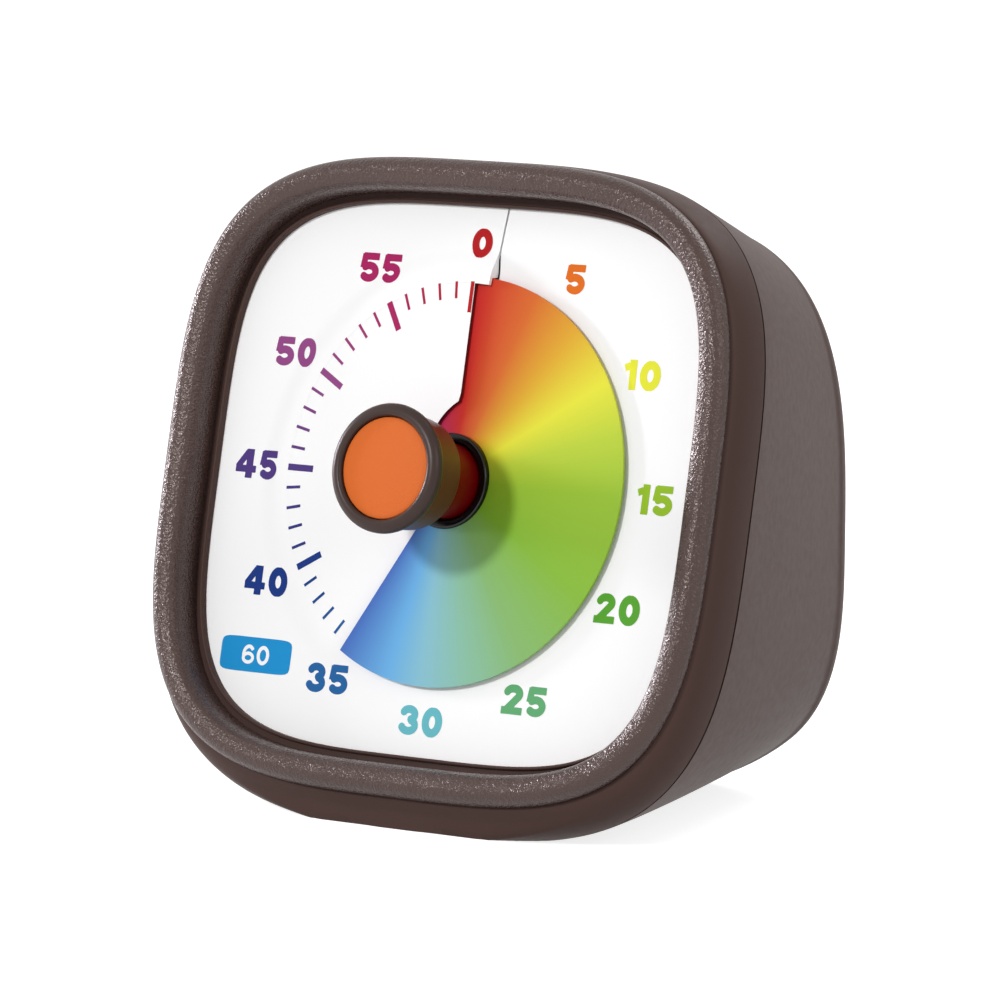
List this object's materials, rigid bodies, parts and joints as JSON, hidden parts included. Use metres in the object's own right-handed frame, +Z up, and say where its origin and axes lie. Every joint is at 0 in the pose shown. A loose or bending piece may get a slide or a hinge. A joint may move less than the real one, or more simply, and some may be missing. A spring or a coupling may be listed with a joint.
{
  "type": "visual countdown timer",
  "caption": "Leaning rounded-square countdown timer with a knob-driven coloured disc that winds out through a slot in a white minute dial.",
  "frame": {"origin": "on the flat base, midway across the width, near the middle of the footprint", "axes": "+Z up, -Y the way the dial faces, +X to the right of someone who looks at the dial"},
  "size_m": [0.0854, 0.0614, 0.0818],
  "materials": {
    "housing": "smooth satin dark brown moulded plastic",
    "rim": "fine leather-like grain, dark brown moulded plastic",
    "dark_trim": "satin near-black plastic",
    "dial": "printed white sheet",
    "inner_plastic": "unfinished grey plastic",
    "screw_steel": "zinc-plated steel",
    "works_plastic": "natural plastic",
    "brass": "turned brass",
    "spring_steel": "nickel-plated steel",
    "copper": "enamelled copper winding",
    "board": "solder-masked board",
    "cell": "plain wrapped steel can",
    "knob_brown": "satin dark brown plastic",
    "knob_orange": "fine-grained orange plastic",
    "stem_red": "satin deep red plastic",
    "disc": "printed conical rainbow",
    "hub_black": "glossy black plastic",
    "magnet": "ferrite magnet",
    "gear_plastic": "natural acetal"
  },
  "bodies": {
    "housing": {"front_frame": "housing", "bezel_ring": "rim", "dial_retainer": "dark_trim", "dial_plate": "dial", "dial_backer": "inner_plastic", "rear_housing": "housing", "case_screws": "screw_steel", "works_case_front": "works_plastic", "works_case_rear": "works_plastic", "works_screws": "screw_steel", "centre_bush": "brass", "stator": "spring_steel", "coil": "copper", "leaf_contact": "brass", "circuit_board": "board", "board_screws": "screw_steel", "chip": "dark_trim", "quartz_can": "spring_steel", "buzzer": "dark_trim", "switch_body": "spring_steel", "battery_tray": "dark_trim", "negative_spring": "spring_steel", "positive_contact": "spring_steel", "battery": "cell"},
    "spindle": {"knob": "knob_brown", "knob_cap": "knob_orange", "knob_stem": "stem_red", "spindle_shaft": "spring_steel", "clutch_spring": "spring_steel", "alarm_cam": "works_plastic"},
    "disc": {"rainbow_disc": "disc", "disc_hub": "hub_black"},
    "rotor": {"rotor": "magnet"},
    "second": {"second_wheel": "gear_plastic"},
    "third": {"third_wheel": "gear_plastic"},
    "centre": {"centre_wheel": "brass"},
    "battery_door": {"battery_door": "housing"},
    "volume_slider": {"volume_slider": "dark_trim"}
  },
  "joints": [
    {"name": "knob_turn", "type": "hinge", "parent": "housing", "child": "spindle", "pos_m": [0, -0.012, 0.0421], "axis": [0, 0.9778, -0.2096], "range_deg": [-210, 150]},
    {"name": "disc_rise", "type": "slide", "parent": "spindle", "child": "disc", "axis": [0, -0.9778, 0.2096], "range_m": [-0.00093, 0.00067]},
    {"name": "rotor_spin", "type": "hinge", "parent": "housing", "child": "rotor", "pos_m": [-0.01223, -0.01012, 0.05088], "axis": [0, 0.9778, -0.2096], "continuous": true},
    {"name": "second_spin", "type": "hinge", "parent": "housing", "child": "second", "pos_m": [-0.00396, -0.00949, 0.05383], "axis": [0, 0.9778, -0.2096], "continuous": true},
    {"name": "third_spin", "type": "hinge", "parent": "housing", "child": "third", "pos_m": [0.0064, -0.00968, 0.05294], "axis": [0, 0.9778, -0.2096], "continuous": true},
    {"name": "centre_spin", "type": "hinge", "parent": "housing", "child": "centre", "pos_m": [0, -0.012, 0.0421], "axis": [0, 0.9778, -0.2096], "continuous": true},
    {"name": "door_pull", "type": "slide", "parent": "housing", "child": "battery_door", "axis": [0, 1, 0], "range_m": [0, 0.03]},
    {"name": "volume_slide", "type": "slide", "parent": "housing", "child": "volume_slider", "axis": [1, 0, 0], "range_m": [0, 0.004]}
  ],
  "couplings": [
    {"joint": "knob_turn", "follows": "disc_rise", "rad_per_m": 3927},
    {"joint": "second_spin", "follows": "rotor_spin", "ratio": -0.1},
    {"joint": "third_spin", "follows": "rotor_spin", "ratio": 0.0083333},
    {"joint": "centre_spin", "follows": "rotor_spin", "ratio": -0.00055556}
  ]
}
